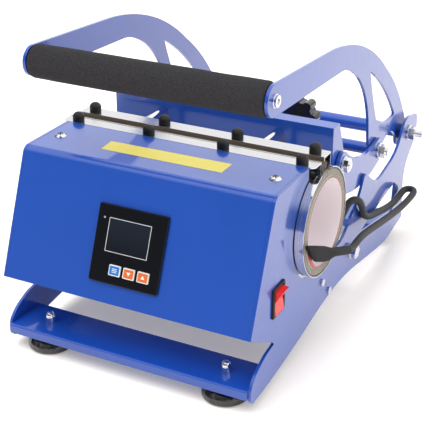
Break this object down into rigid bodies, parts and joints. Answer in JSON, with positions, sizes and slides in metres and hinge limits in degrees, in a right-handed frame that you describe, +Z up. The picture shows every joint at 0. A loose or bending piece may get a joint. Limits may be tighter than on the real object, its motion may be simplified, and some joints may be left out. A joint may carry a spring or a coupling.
{
  "type": "tumbler heat press",
  "caption": "Bench heat press for tumblers: blue sheet frame, split cylindrical heating mat, toggle linkage with foam-gripped handle, sloping housing with controller.",
  "frame": {"origin": "on the floor at the middle of the press's footprint", "axes": "+X to the operator's right, +Y to the back, +Z up"},
  "size_m": [0.2986, 0.4543, 0.2926],
  "materials": {
    "blue_coat": "gloss",
    "chrome": "polished",
    "bright_steel": "bright rolled",
    "zinc": "zinc plated",
    "black_plastic": "satin",
    "gloss_black": "gloss",
    "display": "gloss",
    "rubber": "matt",
    "foam": "closed-cell foam",
    "cord_sleeve": "woven sleeve",
    "brown_silicone": "matt",
    "insulation": "felt",
    "liner": "smooth silicone",
    "red_rocker": "gloss",
    "blue_button": "satin",
    "orange_button": "satin",
    "circuit": "satin"
  },
  "bodies": {
    "base": {"control_board": "circuit", "controller_bezel": "gloss_black", "controller_case": "black_plastic", "cord_boot": "rubber", "cord_grommet": "rubber", "cross_brace": "blue_coat", "display_module": "black_plastic", "display_window": "display", "foot_studs_and_dome_nuts": "chrome", "front_cap_studs": "zinc", "front_end_bands": "bright_steel", "front_housing": "blue_coat", "front_mat_flap": "brown_silicone", "front_mat_insulation": "insulation", "front_mat_liner": "liner", "front_mat_shell": "bright_steel", "front_rubber_caps": "rubber", "front_tray": "blue_coat", "heater_cord": "cord_sleeve", "housing_back_cover": "blue_coat", "housing_brackets": "zinc", "left_side_plate": "blue_coat", "panel_screws": "chrome", "power_inlet": "black_plastic", "rear_tray": "blue_coat", "right_side_plate": "blue_coat", "rocker_switch_body": "black_plastic", "rubber_feet": "rubber", "tie_bolts": "chrome", "tie_tube": "blue_coat"},
    "handle": {"left_arm": "blue_coat", "right_arm": "blue_coat", "upper_cross_tube": "blue_coat", "lower_cross_tube": "blue_coat", "grip_tube": "zinc", "foam_grip": "foam", "grip_bolts": "chrome", "handle_studs": "chrome", "handle_nuts": "chrome", "pivot_spacers": "chrome"},
    "links": {"left_link": "blue_coat", "right_link": "blue_coat"},
    "jaw": {"pressure_channel": "blue_coat", "toe_bolts_and_nuts": "chrome", "rod_sleeves": "chrome"},
    "rear_mat": {"rear_mat_shell": "bright_steel", "rear_mat_insulation": "insulation", "rear_mat_liner": "liner", "rear_mat_flap": "brown_silicone", "rear_end_bands": "bright_steel", "rear_cap_studs": "zinc", "rear_rubber_caps": "rubber", "guide_rods_and_nuts": "chrome"},
    "knob_left": {"left_pressure_knob": "black_plastic"},
    "knob_right": {"right_pressure_knob": "black_plastic"},
    "set_key": {"set_button": "blue_button"},
    "down_key": {"down_button": "orange_button"},
    "up_key": {"up_button": "orange_button"},
    "rocker_key": {"rocker": "red_rocker"}
  },
  "joints": [
    {"name": "handle_lift", "type": "hinge", "parent": "base", "child": "handle", "pos_m": [0, 0.1941, 0.1231], "axis": [-1, 0, 0], "range_deg": [0, 50]},
    {"name": "knee", "type": "hinge", "parent": "handle", "child": "links", "pos_m": [0, 0.1005, 0.1345], "axis": [1, 0, 0], "range_deg": [0, 85.86]},
    {"name": "toe", "type": "hinge", "parent": "links", "child": "jaw", "pos_m": [0, -0.0071, 0.1588], "axis": [-1, 0, 0], "range_deg": [0, 35.87]},
    {"name": "right_knob_turn", "type": "hinge", "parent": "jaw", "child": "knob_right", "pos_m": [0.065, 0.0179, 0.1898], "axis": [0, 1, 0], "range_deg": [0, 1153]},
    {"name": "left_knob_turn", "type": "hinge", "parent": "jaw", "child": "knob_left", "pos_m": [-0.065, 0.0179, 0.1898], "axis": [0, 1, 0], "range_deg": [0, 1153]},
    {"name": "pressure_slide", "type": "slide", "parent": "jaw", "child": "rear_mat", "axis": [0, 1, 0], "range_m": [0, 0.004]},
    {"name": "set_key_travel", "type": "slide", "parent": "base", "child": "set_key", "axis": [0, 0.9275, -0.3737], "range_m": [0, 0.0008], "stiffness_N_per_m": 400, "springref_m": -0.0015},
    {"name": "down_key_travel", "type": "slide", "parent": "base", "child": "down_key", "axis": [0, 0.9275, -0.3737], "range_m": [0, 0.0008], "stiffness_N_per_m": 400, "springref_m": -0.0015},
    {"name": "up_key_travel", "type": "slide", "parent": "base", "child": "up_key", "axis": [0, 0.9275, -0.3737], "range_m": [0, 0.0008], "stiffness_N_per_m": 400, "springref_m": -0.0015},
    {"name": "rocker_tilt", "type": "hinge", "parent": "base", "child": "rocker_key", "pos_m": [0.126, -0.1711, 0.0915], "axis": [0, -1, 0], "range_deg": [0, 22]}
  ],
  "couplings": [
    {"joint": "knee", "follows": "handle_lift", "ratio": 1.7171},
    {"joint": "toe", "follows": "handle_lift", "ratio": 0.7171},
    {"joint": "right_knob_turn", "follows": "pressure_slide", "rad_per_m": 5026.5},
    {"joint": "left_knob_turn", "follows": "pressure_slide", "rad_per_m": 5026.5}
  ]
}
